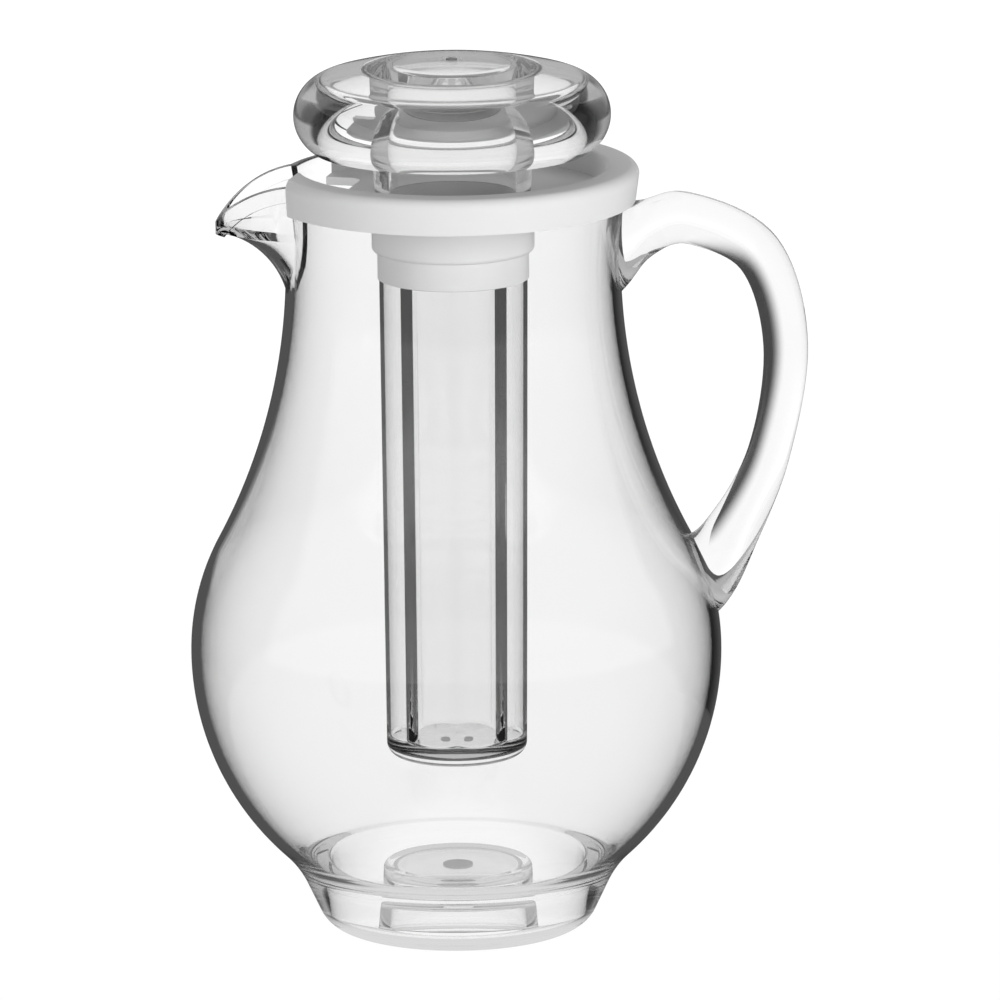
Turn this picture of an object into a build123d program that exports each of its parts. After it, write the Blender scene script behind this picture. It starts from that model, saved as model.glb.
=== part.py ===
"""Pitcher with ice core: a clear jug, a white lid, a clear ice tube hung from it and a clear stopper knob.

Millimetres, +Z up. The origin is the centre of the foot, on the table. The spout points to -X and the
handle to +X.
"""
import os
from math import asin, cos, degrees, radians, sin, sqrt, tan

from build123d import *

# Jug outside: a concave neck arc runs into a convex belly arc, then a lower belly arc into a tapered foot.
RIM_HEIGHT = 236.0
NECK_DROP = 27.5
NECK_RADIUS = 51.3
BELLY_RADIUS = 81.6
BELLY_HEIGHT = 87.3
BELLY_ARC = 72.5
FOOT_RADIUS = 40.0
FOOT_HEIGHT = 21.0
FOOT_TAPER = 25.0
FOOT_EDGE = 10.0
FOOT_BLEND = 35.0

# Jug wall: even at the neck and belly, thicker round a well in the foot. A pedestal rises from the floor of
# the well, hollow from below, with the gate mark of the mould under its roof.
WALL = 2.9
RIM_EDGE = 0.9
FOOT_WALL = 4.5
WELL_DRAFT = 1.9
WELL_EDGE = 3.0
WELL_CORNER = 4.0
FLOOR_THICKNESS = 4.5
PEDESTAL_HEIGHT = 19.3
PEDESTAL_RADIUS = 24.0
PEDESTAL_DRAFT = 1.0
PEDESTAL_EDGE = 2.0
PEDESTAL_FILLET = 3.0
PEDESTAL_WALL = 3.0
PEDESTAL_ROOF = 3.3
GATE_RADIUS = 4.6
GATE_HEIGHT = 0.6

# Beak spout: its keel sweeps out from the neck in an arc to the tip, under a rim that droops.
SPOUT_OVERHANG = 20.5
SPOUT_DEPTH = 17.2
SPOUT_BITE = 1.0
SPOUT_ROOT_INSET = 7.3
SPOUT_HALF_WIDTH = 18.8
SPOUT_ROOT_HALF_WIDTH = 16.5
SPOUT_FULLNESS = 0.55
SPOUT_NOSE = 0.25
SPOUT_WALL = 2.4
KEEL_SWEEP = 80.0
KEEL_STATIONS = (0.0, 30.0, 55.0, KEEL_SWEEP)
TIP_HEIGHT = 4.0
DROOP_ARC = 33.0
LIP_HEIGHT = 4.4
LIP_PROUD = 0.8

# Handle: a solid loop of oval section. Each station has its place out and up, heading, thickness and width.
# The upper ones are placed from the neck and the rim, the lower ones from the belly's widest point.
UPPER_ROOT = (-5.3, -25.5, 0.0, 33.0, 21.0)
UPPER_FLARE = (0.7, -22.1, 3.0, 27.0, 19.5)
UPPER_NECK = (7.7, -17.4, 9.0, 17.8, 17.5)
ARCH = (20.7, -14.3, -2.0, 15.9, 17.0)
SHOULDER = (42.2, -25.5, -50.0, 14.8, 17.0)
BACK = (50.3, -54.0, -88.0, 13.7, 17.0)
SMALL_OF_BACK = (14.6, 60.2, -108.0, 13.1, 17.0)
LOWER_NECK = (2.4, 34.4, -122.0, 17.5, 17.5)
LOWER_FLARE = (-5.6, 24.0, -145.0, 25.0, 20.0)
LOWER_ROOT = (-12.6, 19.7, -150.0, 28.0, 21.0)

# Lid: a skirted ring over the jug's rim, cut straight on the spout side and turned a little from it.
LID_TURN = -14.0
SKIRT_CLEARANCE = 0.5
SKIRT_WALL = 2.1
COLLAR_TAPER = 1.1
COLLAR_HEIGHT = 11.0
COLLAR_CROWN = 3.0
COLLAR_ROOF = 3.0
PLUG_CLEARANCE = 0.6
PLUG_WALL = 2.0
PLUG_EDGE = 1.8
LID_FLOOR_DEPTH = 8.0
LID_FLOOR = 2.5
CHORD_INSET = 14.0
NOTCH_DEPTH = 11.5
NOTCH_HALF_WIDTH = 12.0
NOTCH_CORNER = 4.0

# Socket in the middle of the lid: the stopper plugs it from above, the tube goes in from below.
SOCKET_DEPTH = 18.3
SOCKET_WALL = 2.5
SOCKET_CORNER = 1.5
SOCKET_STEP_DEPTH = 8.4
SOCKET_STEP_WALL = 2.0
BORE_STEP = 1.2
LEDGE_THICKNESS = 2.0
TUBE_BORE_DEPTH = 9.2

# Ice tube: smooth outside with a slight taper, six lobes inside that open a little upwards.
LOBES = 6
LOBE_REACH = 18.6
LOBE_ARC = 8.3
LOBE_DRAFT = 0.8
TUBE_LENGTH = 150.0
TUBE_NECK_WALL = 2.3
TUBE_CLEARANCE = 0.3
TUBE_SHOULDER = 1.5
TUBE_SHOULDER_GAP = 0.2
TUBE_TAPER = 1.1
TUBE_EDGE = 4.0
TUBE_FLOOR = 5.3
TUBE_GATE_RADIUS = 2.4
TUBE_GATE_HEIGHT = 0.4
TUBE_SEAL = 1.0
SEAL_GAP = 0.05

# Stopper knob: a low dome runs into a round rim, hollow from below around a stem that ends in a plug.
KNOB_RADIUS = 48.5
KNOB_STAND_OFF = 5.4
KNOB_RIM_ARC = 12.5
KNOB_RIM_HEIGHT = 10.2
KNOB_DOME_RISE = 2.9
KNOB_FOOT_WIDTH = 2.7
KNOB_ROOF = 5.6
KNOB_HOLLOW_CORNER = 2.5
STEM_SHOULDER = 1.6
STEM_TAPER = 1.0
STEM_WALL = 2.8
STEM_ROOF = 4.0
STEM_EDGE = 0.8
STOPPER_CLEARANCE = 0.2
STOPPER_FLOOR_GAP = 0.5
KNOB_GATE_RADIUS = 3.4
KNOB_GATE_NUB = 1.7
KNOB_GATE_DEPTH = 0.6
STOPPER_SEAL_RADIUS = 0.9
STOPPER_SEAL_DEPTH = 8.0


def upright_arc(rise, run):
    """Radius of the arc that leaves upright and gains a run over a rise."""
    return (rise ** 2 + run ** 2) / (2 * run)


# Jug: the two upper arcs share the drop from the neck to the belly. Both lower arcs start upright there.
neck_height = RIM_HEIGHT - NECK_DROP
neck_arc = upright_arc(neck_height - BELLY_HEIGHT, BELLY_RADIUS - NECK_RADIUS) - BELLY_ARC
neck_centre = NECK_RADIUS + neck_arc
turn_angle = asin((neck_height - BELLY_HEIGHT) / (neck_arc + BELLY_ARC))
rim_angle = asin(NECK_DROP / neck_arc)
rim_radius = neck_centre - neck_arc * cos(rim_angle)
inner_rim_angle = asin((NECK_DROP - RIM_EDGE) / (neck_arc + WALL))
inner_rim_radius = neck_centre - (neck_arc + WALL) * cos(inner_rim_angle)
foot_top = FOOT_RADIUS + FOOT_HEIGHT * tan(radians(FOOT_TAPER))
lower_belly_arc = upright_arc(BELLY_HEIGHT - FOOT_HEIGHT, BELLY_RADIUS - foot_top)
foot_angle = asin((BELLY_HEIGHT - FOOT_HEIGHT) / lower_belly_arc)
well_foot = FOOT_RADIUS + FLOOR_THICKNESS * tan(radians(FOOT_TAPER)) - FOOT_WALL
well_top = well_foot + WELL_DRAFT
lower_inside_arc = upright_arc(BELLY_HEIGHT - FOOT_HEIGHT, BELLY_RADIUS - WALL - well_top)
inside_angle = asin((BELLY_HEIGHT - FOOT_HEIGHT) / lower_inside_arc)
pedestal_top = PEDESTAL_RADIUS - PEDESTAL_DRAFT
recess_depth = PEDESTAL_HEIGHT - PEDESTAL_ROOF
recess_radius = PEDESTAL_RADIUS - PEDESTAL_WALL
recess_top = recess_radius - PEDESTAL_DRAFT

# Spout: the droop's arc passes through the top of the tip.
spout_reach = NECK_RADIUS + SPOUT_OVERHANG
spout_root = NECK_RADIUS - SPOUT_ROOT_INSET
tip_bottom = RIM_HEIGHT - SPOUT_DEPTH
keel_arc = (SPOUT_OVERHANG + SPOUT_BITE) / (1 - cos(radians(KEEL_SWEEP)))
tip_drop = SPOUT_DEPTH - TIP_HEIGHT
droop_start = spout_reach - sqrt(2 * DROOP_ARC * tip_drop - tip_drop ** 2)
droop_plane = Plane((-droop_start, 0, RIM_HEIGHT - DROOP_ARC), x_dir=(1, 0, 0), z_dir=(0, -1, 0))

# Lid, from the jug's rim outwards and downwards.
skirt_inside = rim_radius + SKIRT_CLEARANCE
collar_radius = skirt_inside + SKIRT_WALL + COLLAR_TAPER
collar_top = RIM_HEIGHT + COLLAR_ROOF
collar_bottom = collar_top - COLLAR_HEIGHT
lid_floor_top = collar_top - LID_FLOOR_DEPTH
lid_floor_bottom = lid_floor_top - LID_FLOOR
plug_gap = sqrt((neck_arc + WALL) ** 2 - (lid_floor_bottom - neck_height) ** 2)
plug_radius = neck_centre - plug_gap - PLUG_CLEARANCE
plug_inside = plug_radius - PLUG_WALL
spout_chord = collar_radius - CHORD_INSET
notch_end = spout_chord - NOTCH_DEPTH

# Tube, socket and stopper, from the tube's lobes outwards.
tube_neck = LOBE_REACH + TUBE_NECK_WALL
tube_bore = tube_neck + TUBE_CLEARANCE
tube_top_radius = tube_bore + TUBE_SHOULDER
tube_foot_radius = tube_top_radius - TUBE_TAPER
stopper_bore = tube_bore + BORE_STEP
stopper_plug = stopper_bore - STOPPER_CLEARANCE
socket_radius = stopper_bore + SOCKET_WALL
socket_step_radius = tube_bore + SOCKET_STEP_WALL
socket_step = lid_floor_top - SOCKET_DEPTH
socket_bottom = socket_step - SOCKET_STEP_DEPTH
ledge_bottom = socket_bottom + TUBE_BORE_DEPTH
ledge_top = ledge_bottom + LEDGE_THICKNESS
tube_top = socket_bottom - TUBE_SHOULDER_GAP
tube_bottom = tube_top - TUBE_LENGTH
tube_mouth = ledge_bottom - TUBE_SEAL - SEAL_GAP
stem_foot_radius = stopper_bore + STEM_SHOULDER
stem_top_radius = stem_foot_radius + STEM_TAPER
stem_bore = stopper_plug - STEM_WALL
plug_bottom = ledge_top + STOPPER_FLOOR_GAP
seal_centre = stopper_bore - SEAL_GAP - STOPPER_SEAL_RADIUS
seal_height = lid_floor_top - STOPPER_SEAL_DEPTH

# Knob: the dome's arc is tangent to the rim's arc.
knob_bottom = collar_top + KNOB_STAND_OFF
rim_height = knob_bottom + KNOB_RIM_HEIGHT
rim_rise = KNOB_RIM_ARC + KNOB_DOME_RISE
rim_inset = KNOB_RADIUS - KNOB_RIM_ARC
knob_top = rim_height + rim_rise
knob_roof = knob_top - KNOB_ROOF
stem_roof = knob_top - STEM_ROOF
dome_arc = (rim_inset ** 2 + rim_rise ** 2 - KNOB_RIM_ARC ** 2) / (2 * KNOB_DOME_RISE)
dome_angle = asin(rim_inset / (dome_arc - KNOB_RIM_ARC))
under_angle = asin(KNOB_RIM_HEIGHT / KNOB_RIM_ARC)
rim_foot = rim_inset + KNOB_RIM_ARC * cos(under_angle)
hollow_radius = rim_foot - KNOB_FOOT_WIDTH

os.makedirs("parts", exist_ok=True)

# The jug's outside as a full solid of revolution. The handle's roots are cut to it as well.
with BuildPart() as jug_outside:
    with BuildSketch(Plane.XZ):
        with BuildLine():
            Line((0, RIM_HEIGHT), (0, 0))
            Line((0, 0), (FOOT_RADIUS, 0))
            Line((FOOT_RADIUS, 0), (foot_top, FOOT_HEIGHT))
            CenterArc((BELLY_RADIUS - lower_belly_arc, BELLY_HEIGHT), lower_belly_arc, -degrees(foot_angle),
                      degrees(foot_angle))
            CenterArc((BELLY_RADIUS - BELLY_ARC, BELLY_HEIGHT), BELLY_ARC, 0, degrees(turn_angle))
            CenterArc((neck_centre, neck_height), neck_arc, 180 + degrees(turn_angle),
                      -degrees(turn_angle + rim_angle))
            Line((rim_radius, RIM_HEIGHT), (0, RIM_HEIGHT))
        outline = make_face()
        fillet(outline.vertices().sort_by_distance((FOOT_RADIUS, 0))[0], FOOT_EDGE)
        fillet(outline.vertices().sort_by_distance((foot_top, FOOT_HEIGHT))[0], FOOT_BLEND)
        fillet(outline.vertices().sort_by_distance((rim_radius, RIM_HEIGHT))[0], RIM_EDGE)
    revolve(axis=Axis.Z)


def spout_form(inset):
    """The beak up to the rim's height, with its sides, nose and keel drawn in by the inset."""
    keel_rise = keel_arc * sin(radians(KEEL_SWEEP))
    with BuildPart() as form:
        for angle in KEEL_STATIONS:
            along = sin(radians(angle)) / sin(radians(KEEL_SWEEP))
            nose = NECK_RADIUS - SPOUT_BITE + keel_arc * (1 - cos(radians(angle))) - inset
            half = SPOUT_ROOT_HALF_WIDTH + (SPOUT_HALF_WIDTH - SPOUT_ROOT_HALF_WIDTH) * along - inset
            height = tip_bottom - keel_rise + (keel_rise + inset) * along
            shoulder = spout_root + SPOUT_FULLNESS * (nose - spout_root)
            with BuildSketch(Plane.XY.offset(height)) as station:
                with BuildLine():
                    Bezier((-spout_root, half), (-shoulder, half), (-nose, SPOUT_NOSE * half), (-nose, 0))
                    mirror(about=Plane.XZ)
                    Line((-spout_root, -half), (-spout_root, half))
                make_face()
        loft()
        extrude(station.sketch, amount=RIM_HEIGHT - height)
    return form.part


# The bead along the spout's drooping rim stands a little proud of the spout's sides.
with BuildPart() as spout_lip:
    add(spout_form(-LIP_PROUD))
    with BuildSketch(droop_plane):
        Circle(DROOP_ARC + LIP_HEIGHT)
        Circle(DROOP_ARC - LIP_HEIGHT, mode=Mode.SUBTRACT)
    extrude(amount=spout_reach, both=True, mode=Mode.INTERSECT)

# Clear jug: body and spout in one moulding, hollowed down into the foot's well, recessed under the pedestal.
with BuildPart() as jug_body:
    add(jug_outside.part)
    add(spout_form(0))
    add(spout_lip.part)
    with BuildSketch(Plane.XZ):
        with BuildLine():
            Polyline((0, RIM_HEIGHT), (0, PEDESTAL_HEIGHT), (pedestal_top, PEDESTAL_HEIGHT),
                     (PEDESTAL_RADIUS, FLOOR_THICKNESS), (well_foot, FLOOR_THICKNESS),
                     (well_top, FOOT_HEIGHT))
            CenterArc((BELLY_RADIUS - WALL - lower_inside_arc, BELLY_HEIGHT), lower_inside_arc,
                      -degrees(inside_angle), degrees(inside_angle))
            CenterArc((BELLY_RADIUS - BELLY_ARC, BELLY_HEIGHT), BELLY_ARC - WALL, 0, degrees(turn_angle))
            CenterArc((neck_centre, neck_height), neck_arc + WALL, 180 + degrees(turn_angle),
                      -degrees(turn_angle + inner_rim_angle))
            CenterArc((inner_rim_radius + RIM_EDGE, RIM_HEIGHT - RIM_EDGE), RIM_EDGE, 180, -90)
            Line((inner_rim_radius + RIM_EDGE, RIM_HEIGHT), (0, RIM_HEIGHT))
        inside = make_face()
        fillet(inside.vertices().sort_by_distance((pedestal_top, PEDESTAL_HEIGHT))[0], PEDESTAL_EDGE)
        fillet(inside.vertices().sort_by_distance((PEDESTAL_RADIUS, FLOOR_THICKNESS))[0], PEDESTAL_FILLET)
        fillet(inside.vertices().sort_by_distance((well_foot, FLOOR_THICKNESS))[0], WELL_CORNER)
        fillet(inside.vertices().sort_by_distance((well_top, FOOT_HEIGHT))[0], WELL_EDGE)
    revolve(axis=Axis.Z, mode=Mode.SUBTRACT)
    add(spout_form(SPOUT_WALL), mode=Mode.SUBTRACT)
    with BuildSketch(droop_plane):
        Rectangle(spout_reach, spout_reach, align=(Align.MAX, Align.MIN))
        Circle(DROOP_ARC, mode=Mode.SUBTRACT)
    extrude(amount=spout_reach, both=True, mode=Mode.SUBTRACT)
    with BuildSketch(Plane.XZ):
        with BuildLine():
            Polyline((0, 0), (recess_radius, 0), (recess_top, recess_depth), (0, recess_depth), close=True)
        recess = make_face()
        fillet(recess.vertices().sort_by_distance((recess_top, recess_depth))[0], PEDESTAL_EDGE)
    revolve(axis=Axis.Z, mode=Mode.SUBTRACT)
    with BuildSketch(Plane.XY.offset(recess_depth - GATE_HEIGHT)):
        Circle(GATE_RADIUS)
    extrude(amount=GATE_HEIGHT)
jug_body.part.label = "jug_body"
export_step(jug_body.part, "parts/jug_body.step")

# Clear handle: a smooth loop through its stations. Both roots are cut to the jug's outside, where they bond.
with BuildPart() as jug_handle:
    upper_end = (UPPER_ROOT, UPPER_FLARE, UPPER_NECK, ARCH, SHOULDER, BACK)
    lower_end = (SMALL_OF_BACK, LOWER_NECK, LOWER_FLARE, LOWER_ROOT)
    ends = ((NECK_RADIUS, RIM_HEIGHT, upper_end), (BELLY_RADIUS, BELLY_HEIGHT, lower_end))
    for radius, level, stations in ends:
        for out, up, heading, thickness, width in stations:
            forward = (cos(radians(heading)), 0, sin(radians(heading)))
            with BuildSketch(Plane((radius + out, 0, level + up), x_dir=(0, 1, 0), z_dir=forward)):
                Ellipse(width / 2, thickness / 2)
    loft()
    add(jug_outside.part, mode=Mode.SUBTRACT)
jug_handle.part.label = "jug_handle"
export_step(jug_handle.part, "parts/jug_handle.step")

# White lid: skirt, plug, dished floor and socket in one moulding, open on the spout side.
with BuildPart() as lid_collar:
    with BuildSketch(Plane.XZ):
        with BuildLine():
            Polyline((collar_radius - COLLAR_TAPER, collar_bottom), (collar_radius, collar_top),
                     (plug_inside, collar_top), (plug_inside, lid_floor_top), (stopper_bore, lid_floor_top),
                     (stopper_bore, ledge_top), (LOBE_REACH, ledge_top), (LOBE_REACH, ledge_bottom),
                     (tube_bore, ledge_bottom), (tube_bore, socket_bottom),
                     (socket_step_radius, socket_bottom), (socket_step_radius, socket_step),
                     (socket_radius, socket_step), (socket_radius, lid_floor_bottom),
                     (plug_radius, lid_floor_bottom), (plug_radius, RIM_HEIGHT),
                     (skirt_inside, RIM_HEIGHT), (skirt_inside, collar_bottom), close=True)
        section = make_face()
        fillet(section.vertices().sort_by_distance((collar_radius, collar_top))[0], COLLAR_CROWN)
        fillet(section.vertices().sort_by_distance((plug_inside, collar_top))[0], PLUG_EDGE)
        fillet(section.vertices().sort_by_distance((socket_radius, socket_step))[0], SOCKET_CORNER)
    revolve(axis=Axis.Z)
    with BuildSketch(Plane.XY.offset(socket_bottom).rotated((0, 0, LID_TURN))) as pour_opening:
        with BuildLine():
            Polyline((-notch_end, NOTCH_HALF_WIDTH), (-notch_end, -NOTCH_HALF_WIDTH),
                     (-spout_chord, -NOTCH_HALF_WIDTH), (-spout_chord, -collar_radius),
                     (-2 * spout_chord, -collar_radius), (-2 * spout_chord, collar_radius),
                     (-spout_chord, collar_radius), (-spout_chord, NOTCH_HALF_WIDTH), close=True)
        opening = make_face()
        notch_corners = opening.vertices().group_by(Axis.X)[-1]
        fillet(notch_corners, NOTCH_CORNER)
    extrude(amount=collar_top - socket_bottom + COLLAR_ROOF, mode=Mode.SUBTRACT)
lid_collar.part.label = "lid_collar"
export_step(lid_collar.part, "parts/lid_collar.step")

# Clear ice tube: its neck goes up into the lid's socket. Its shoulder stops just short of the socket's end.
with BuildPart() as ice_tube:
    with BuildSketch(Plane.XZ):
        with BuildLine():
            Polyline((0, tube_bottom), (tube_foot_radius, tube_bottom), (tube_top_radius, tube_top),
                     (tube_neck, tube_top), (tube_neck, tube_mouth), (0, tube_mouth), close=True)
        section = make_face()
        fillet(section.vertices().sort_by_distance((tube_foot_radius, tube_bottom))[0], TUBE_EDGE)
    revolve(axis=Axis.Z)
    for height, reach in ((tube_bottom + TUBE_FLOOR, LOBE_REACH - LOBE_DRAFT), (tube_mouth, LOBE_REACH)):
        with BuildSketch(Plane.XY.offset(height)):
            Circle(reach - LOBE_ARC)
            with PolarLocations(reach - LOBE_ARC, LOBES):
                Circle(LOBE_ARC)
    loft(ruled=True, mode=Mode.SUBTRACT)
    with BuildSketch(Plane.XY.offset(tube_bottom - TUBE_GATE_HEIGHT)):
        Circle(TUBE_GATE_RADIUS)
    extrude(amount=TUBE_GATE_HEIGHT)
ice_tube.part.label = "ice_tube"
export_step(ice_tube.part, "parts/ice_tube.step")

# Flat ring seal under the socket's ledge, over the tube's mouth.
with BuildPart() as tube_seal:
    with BuildSketch(Plane.XY.offset(ledge_bottom - TUBE_SEAL)):
        Circle(tube_neck)
        Circle(LOBE_REACH, mode=Mode.SUBTRACT)
    extrude(amount=TUBE_SEAL)
tube_seal.part.label = "tube_seal"
export_step(tube_seal.part, "parts/tube_seal.step")

# Clear stopper knob: dome, round rim, hollow and stem in one. The stem's shoulder rests on the lid's floor.
with BuildPart() as stopper_knob:
    with BuildSketch(Plane.XZ):
        with BuildLine():
            Line((0, stem_roof), (0, knob_top))
            CenterArc((0, knob_top - dome_arc), dome_arc, 90, -degrees(dome_angle))
            CenterArc((rim_inset, rim_height), KNOB_RIM_ARC, 90 - degrees(dome_angle),
                      degrees(dome_angle) - 90 - degrees(under_angle))
            Polyline((rim_foot, knob_bottom), (hollow_radius, knob_bottom), (hollow_radius, knob_roof),
                     (stem_top_radius, knob_roof), (stem_foot_radius, lid_floor_top),
                     (stopper_plug, lid_floor_top), (stopper_plug, plug_bottom), (stem_bore, plug_bottom),
                     (stem_bore, stem_roof), (0, stem_roof))
        section = make_face()
        fillet(section.vertices().sort_by_distance((hollow_radius, knob_roof))[0], KNOB_HOLLOW_CORNER)
        fillet(section.vertices().sort_by_distance((stem_top_radius, knob_roof))[0], KNOB_HOLLOW_CORNER)
        fillet(section.vertices().sort_by_distance((stem_bore, stem_roof))[0], KNOB_HOLLOW_CORNER)
        fillet(section.vertices().sort_by_distance((stopper_plug, plug_bottom))[0], STEM_EDGE)
        with Locations((seal_centre, seal_height)):
            Circle(STOPPER_SEAL_RADIUS + SEAL_GAP, mode=Mode.SUBTRACT)
    revolve(axis=Axis.Z)
    with BuildSketch(Plane.XY.offset(knob_top)):
        Circle(KNOB_GATE_RADIUS)
        Circle(KNOB_GATE_NUB, mode=Mode.SUBTRACT)
    extrude(amount=-KNOB_GATE_DEPTH, mode=Mode.SUBTRACT)
stopper_knob.part.label = "stopper_knob"
export_step(stopper_knob.part, "parts/stopper_knob.step")

# Round ring seal in the groove of the stem's plug.
with BuildPart() as stopper_seal:
    with BuildSketch(Plane.XZ):
        with Locations((seal_centre, seal_height)):
            Circle(STOPPER_SEAL_RADIUS)
    revolve(axis=Axis.Z)
stopper_seal.part.label = "stopper_seal"
export_step(stopper_seal.part, "parts/stopper_seal.step")
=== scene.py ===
from math import asin, atan, atan2, cos, pi, radians, sin, sqrt, tan, tau

import bmesh
import bpy
from mathutils import Matrix, Vector


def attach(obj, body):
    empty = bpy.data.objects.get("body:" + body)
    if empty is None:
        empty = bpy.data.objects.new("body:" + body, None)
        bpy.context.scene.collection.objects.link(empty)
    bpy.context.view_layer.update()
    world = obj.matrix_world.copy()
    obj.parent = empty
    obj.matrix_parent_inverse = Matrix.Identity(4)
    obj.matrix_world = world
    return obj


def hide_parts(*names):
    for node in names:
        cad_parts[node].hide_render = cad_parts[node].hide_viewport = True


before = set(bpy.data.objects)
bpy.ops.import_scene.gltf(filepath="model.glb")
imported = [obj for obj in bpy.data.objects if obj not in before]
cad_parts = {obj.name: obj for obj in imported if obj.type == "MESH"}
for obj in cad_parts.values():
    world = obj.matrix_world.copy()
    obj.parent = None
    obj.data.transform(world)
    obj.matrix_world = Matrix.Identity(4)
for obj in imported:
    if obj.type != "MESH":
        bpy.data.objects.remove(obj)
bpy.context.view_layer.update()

scene = bpy.context.scene
scene.view_settings.view_transform = "Standard"

# Camera: a long lens a little above the jug, square to the plane of its spout and handle.
# The shift and the slight roll follow the framing of the photograph.
CAMERA_TARGET = Vector((0, 0, 0.140))
CAMERA_DISTANCE = 4.076
CAMERA_ELEVATION = radians(12.66)
CAMERA_ROLL = radians(0.46)
CAMERA_LENS = 478
CAMERA_SENSOR = 36
CAMERA_SHIFT = (0.045, -0.0194)
camera_data = bpy.data.cameras.new("camera")
camera_data.lens = CAMERA_LENS
camera_data.sensor_width = CAMERA_SENSOR
camera_data.shift_x, camera_data.shift_y = CAMERA_SHIFT
camera = bpy.data.objects.new("camera", camera_data)
scene.collection.objects.link(camera)
camera_back = Vector((0, -cos(CAMERA_ELEVATION), sin(CAMERA_ELEVATION)))
camera.matrix_world = (Matrix.Translation(CAMERA_TARGET + camera_back * CAMERA_DISTANCE)
                       @ Matrix.Rotation(radians(90) - CAMERA_ELEVATION, 4, "X")
                       @ Matrix.Rotation(-CAMERA_ROLL, 4, "Z"))
scene.camera = camera

# Floor and surroundings: a white table that runs out to a pale horizon, as in a product studio. In gloss the
# floor shows a painted reflection: pale close to the jug, dark round it, and fading to the grey room beyond.
# The room also lights the pieces a little.
FLOOR_WIDTH = 30.0
FLOOR_COLOUR = (0.9, 0.9, 0.9, 1)
FLOOR_ROUGHNESS = 0.9
FLOOR_GLOW = 0.9
FLOOR_GLOW_FAR = 1.0
FLOOR_GLOW_REACH = (0.5, 3.0)
FLOOR_SHADOW = (0.2, 0.2, 0.2, 1)
# Painted reflection on the floor, seen only in gloss: a narrow pale patch near the jug, a dark ring round it,
# then grey.
PAINTED_REFLECTION_PALE = 0.7
PAINTED_REFLECTION_PALE_REACH = (0.10, 0.17)
PAINTED_REFLECTION_NARROWING = (3.0, 1, 0)
PAINTED_REFLECTION_DARK = 0.08
PAINTED_REFLECTION_FADE_REACH = (1.5, 9.0)
ROOM_COLOUR = (1, 1, 1, 1)
ROOM_LIGHT = 0.24
ROOM_SEEN = 1
ROOM_IN_GLOSS = 0.45
ROOM_ABOVE = 0.55
ROOM_RISE = (0.1, 0.45)


def new_piece(name, mesh):
    """Makes an object of a finished bmesh, which is used up."""
    data = bpy.data.meshes.new(name)
    mesh.to_mesh(data)
    mesh.free()
    piece = bpy.data.objects.new(name, data)
    scene.collection.objects.link(piece)
    return piece


def new_material(name):
    """Starts a material, and gives it with its node tree and its plain shader."""
    material = bpy.data.materials.new(name)
    material.use_nodes = True
    return material, material.node_tree, material.node_tree.nodes["Principled BSDF"]


def graded(tree, value, ends, span=(0, 1), curve="LINEAR"):
    """Runs from one end to the other while a value crosses a span."""
    grade = tree.nodes.new("ShaderNodeMapRange")
    grade.interpolation_type = curve
    grade.inputs["From Min"].default_value, grade.inputs["From Max"].default_value = span
    grade.inputs["To Min"].default_value, grade.inputs["To Max"].default_value = ends
    tree.links.new(value, grade.inputs["Value"])
    return grade.outputs["Result"]


def number_from(tree, operation, first, second):
    """Works out one number from two, of which the second may be fixed."""
    working = tree.nodes.new("ShaderNodeMath")
    working.operation = operation
    tree.links.new(first, working.inputs[0])
    if isinstance(second, float):
        working.inputs[1].default_value = second
    else:
        tree.links.new(second, working.inputs[1])
    return working.outputs[0]


def mixed(tree, share, first, second):
    """Mixes a share of the second shader into the first."""
    mix = tree.nodes.new("ShaderNodeMixShader")
    for source, socket in zip((share, first, second), mix.inputs):
        tree.links.new(source, socket)
    return mix.outputs[0]


def by_sight(tree, lights, in_gloss, seen):
    """Lights as one shader, shows as another in gloss, and as a third directly or through plastic."""
    path = tree.nodes.new("ShaderNodeLightPath")
    sight = number_from(tree, "MAXIMUM", path.outputs["Is Camera Ray"], path.outputs["Is Transmission Ray"])
    return mixed(tree, path.outputs["Glossy Depth"], mixed(tree, sight, lights, seen), in_gloss)


def floor_distance(tree, start, stretch):
    """How far a spot is from a start along the floor, stretched by a factor each way."""
    spot = tree.nodes.new("ShaderNodeTexCoord")
    stretched = tree.nodes.new("ShaderNodeVectorMath")
    stretched.operation = "MULTIPLY"
    stretched.inputs[1].default_value = stretch
    tree.links.new(spot.outputs["Object"], stretched.inputs[0])
    away = tree.nodes.new("ShaderNodeVectorMath")
    away.operation = "DISTANCE"
    away.inputs[1].default_value = start
    tree.links.new(stretched.outputs["Vector"], away.inputs[0])
    return away.outputs["Value"]


room = bpy.data.worlds.new("room")
scene.world = room
room.use_nodes = True
tree = room.node_tree
room_shaders = []
for strength in (ROOM_LIGHT, ROOM_IN_GLOSS, ROOM_SEEN):
    shader = tree.nodes.new("ShaderNodeBackground")
    shader.inputs["Color"].default_value = ROOM_COLOUR
    shader.inputs["Strength"].default_value = strength
    room_shaders.append(shader)
sky = tree.nodes.new("ShaderNodeTexCoord")
height = tree.nodes.new("ShaderNodeSeparateXYZ")
tree.links.new(sky.outputs["Generated"], height.inputs[0])
room_gloss = graded(tree, height.outputs["Z"], (ROOM_IN_GLOSS, ROOM_ABOVE), ROOM_RISE, "SMOOTHSTEP")
tree.links.new(room_gloss, room_shaders[1].inputs["Strength"])
room_shown = by_sight(tree, *[shader.outputs[0] for shader in room_shaders])
tree.links.new(room_shown, tree.nodes["World Output"].inputs["Surface"])

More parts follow.
